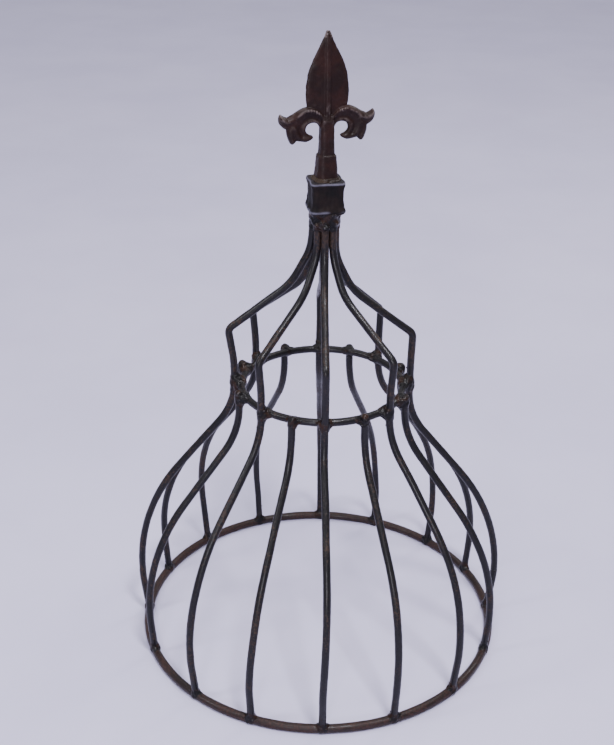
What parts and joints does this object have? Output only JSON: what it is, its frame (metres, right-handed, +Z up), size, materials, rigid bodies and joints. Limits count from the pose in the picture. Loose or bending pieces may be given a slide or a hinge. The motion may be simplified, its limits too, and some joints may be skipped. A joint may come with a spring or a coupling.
{
  "type": "garden cloche",
  "caption": "Open bell-shaped cage of welded round iron bars on a base ring, drawn in at a waist ring and gathered under a square collar that carries a cast spear finial.",
  "frame": {"origin": "centre of the base ring, on the surface it stands on", "axes": "+Z up through the finial; -Y is the front, +X the right-hand side; the finial's blade lies 10 degrees off the X axis"},
  "size_m": [0.4086, 0.4087, 0.661],
  "materials": {
    "forged_bar": "dark forge-black round bar, satin where it is rubbed, with thin brown rust",
    "rusted_bar": "round bar with an even red-brown rust bloom, darker where damp has stood",
    "cast_iron": "dark brown cast iron, worn to grey-beige on the high spots",
    "weld_metal": "lumpy dark weld metal with small bright specks"
  },
  "bodies": {
    "root": {"base_ring": "rusted_bar", "waist_ring": "forged_bar", "long_rib_1": "forged_bar", "long_rib_2": "forged_bar", "long_rib_3": "forged_bar", "long_rib_4": "forged_bar", "long_rib_5": "forged_bar", "long_rib_6": "forged_bar", "long_rib_7": "forged_bar", "long_rib_8": "forged_bar", "short_rib_1": "forged_bar", "short_rib_2": "forged_bar", "short_rib_3": "forged_bar", "short_rib_4": "forged_bar", "short_rib_5": "forged_bar", "short_rib_6": "forged_bar", "short_rib_7": "forged_bar", "short_rib_8": "forged_bar", "square_collar": "cast_iron", "core_bar": "forged_bar", "spear_finial": "cast_iron", "base_ring_welds": "weld_metal", "waist_ring_welds": "weld_metal", "bundle_weld": "weld_metal", "finial_weld": "weld_metal"}
  },
  "joints": []
}
